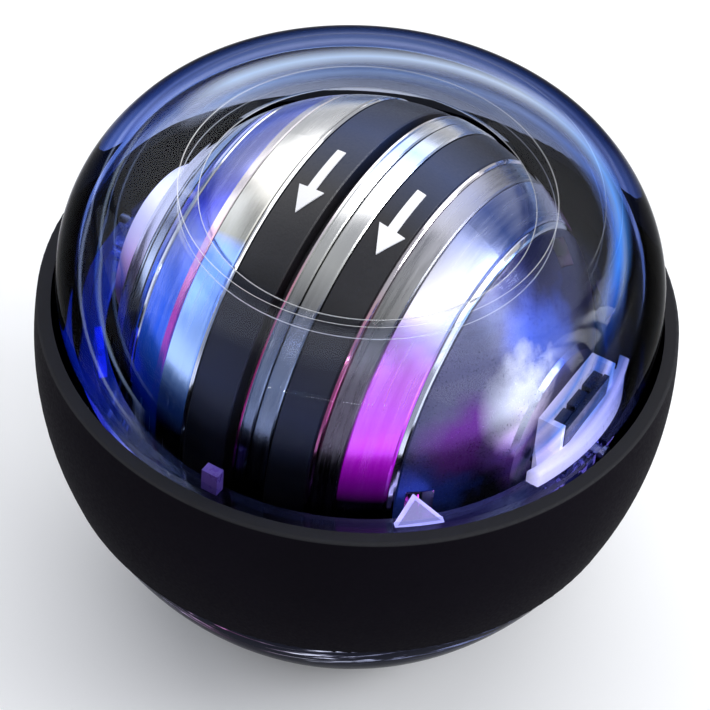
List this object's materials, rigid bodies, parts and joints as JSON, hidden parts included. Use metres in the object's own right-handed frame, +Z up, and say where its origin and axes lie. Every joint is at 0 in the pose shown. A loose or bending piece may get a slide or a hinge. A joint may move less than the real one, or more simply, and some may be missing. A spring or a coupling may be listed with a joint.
{
  "type": "gyroscopic wrist ball",
  "caption": "Hand-held gyroscopic wrist trainer: clear shell with a black grip band, a banded chrome rotor on a gimbal ring, and a wind-up spring starter",
  "frame": {"origin": "Centre of the flat that the ball stands on", "axes": "+Z up along the shell's axis, X along the rotor's axle with the spring starter at -X, Y across it"},
  "size_m": [0.07, 0.07, 0.0596],
  "materials": {
    "clear_shell": "clear",
    "grip_rubber": "matte",
    "clear_ring": "clear",
    "carrier_plastic": "satin",
    "bearing_brass": "satin",
    "screw_steel": "plain",
    "spring_steel": "plain",
    "axle_steel": "polished",
    "magnet_grey": "plated",
    "hub_black": "matte",
    "weight_zinc": "cast",
    "band_chrome": "polished",
    "band_bright": "bright turned",
    "cap_satin": "satin metallic",
    "tread_rubber": "matte",
    "arrow_white": "print-like inlay",
    "window_clear": "clear",
    "board_green": "resist",
    "lamp_blue": "clear lens",
    "lamp_magenta": "clear lens",
    "coil_copper": "enamelled wire"
  },
  "bodies": {
    "casing": {"upper_shell": "clear_shell", "lower_shell": "clear_shell", "grip_band": "grip_rubber"},
    "gimbal": {"gimbal_ring": "clear_ring", "ring_gussets": "clear_ring", "ring_posts": "carrier_plastic", "left_axle_bush": "bearing_brass", "right_axle_bush": "bearing_brass", "left_lug_screws": "screw_steel", "right_lug_screws": "screw_steel", "starter_drum": "carrier_plastic", "starter_cover": "carrier_plastic", "mainspring": "spring_steel", "generator_bracket": "carrier_plastic", "generator_magnets": "magnet_grey", "magnet_yoke": "magnet_grey"},
    "starter_arbor": {"winding_arbor": "spring_steel"},
    "pawl_1": {"clutch_pawl_1": "spring_steel"},
    "pawl_2": {"clutch_pawl_2": "spring_steel"},
    "rotor": {"axle": "axle_steel", "rotor_hub": "hub_black", "left_polished_band": "band_chrome", "left_chrome_band": "band_chrome", "left_wire_ring": "band_bright", "left_tread": "tread_rubber", "centre_left_band": "band_chrome", "centre_right_band": "band_chrome", "right_tread": "tread_rubber", "right_wire_ring": "band_bright", "right_chrome_band": "band_chrome", "right_polished_band": "band_chrome", "left_trim_ring": "band_bright", "right_trim_ring": "band_bright", "left_end_cap": "cap_satin", "right_end_cap": "cap_satin", "left_lamp_windows": "window_clear", "right_lamp_windows": "window_clear", "left_weight": "weight_zinc", "right_weight": "weight_zinc", "left_lamp_board": "board_green", "right_lamp_board": "board_green", "left_lamps": "lamp_blue", "right_lamps": "lamp_magenta", "coil": "coil_copper", "coil_former": "hub_black", "left_arrows": "arrow_white", "right_arrows": "arrow_white", "pawl_pins": "axle_steel"}
  },
  "joints": [
    {"name": "ring_precession", "type": "hinge", "parent": "casing", "child": "gimbal", "pos_m": [0, 0, 0.0336], "axis": [0, 0, 1], "continuous": true},
    {"name": "rotor_spin", "type": "hinge", "parent": "gimbal", "child": "rotor", "pos_m": [0, 0, 0.0336], "axis": [1, 0, 0], "continuous": true},
    {"name": "arbor_wind", "type": "hinge", "parent": "gimbal", "child": "starter_arbor", "pos_m": [-0.021, 0, 0.0336], "axis": [1, 0, 0], "range_deg": [0, 1080], "stiffness_Nm_per_rad": 0.0015},
    {"name": "pawl_1_tilt", "type": "hinge", "parent": "rotor", "child": "pawl_1", "pos_m": [-0.01925, 0.0063, 0.0336], "axis": [1, 0, 0], "range_deg": [0, 10], "stiffness_Nm_per_rad": 0.0005},
    {"name": "pawl_2_tilt", "type": "hinge", "parent": "rotor", "child": "pawl_2", "pos_m": [-0.01925, -0.0063, 0.0336], "axis": [1, 0, 0], "range_deg": [0, 10], "stiffness_Nm_per_rad": 0.0005}
  ],
  "couplings": [
    {"joint": "pawl_2_tilt", "follows": "pawl_1_tilt", "ratio": 1}
  ]
}
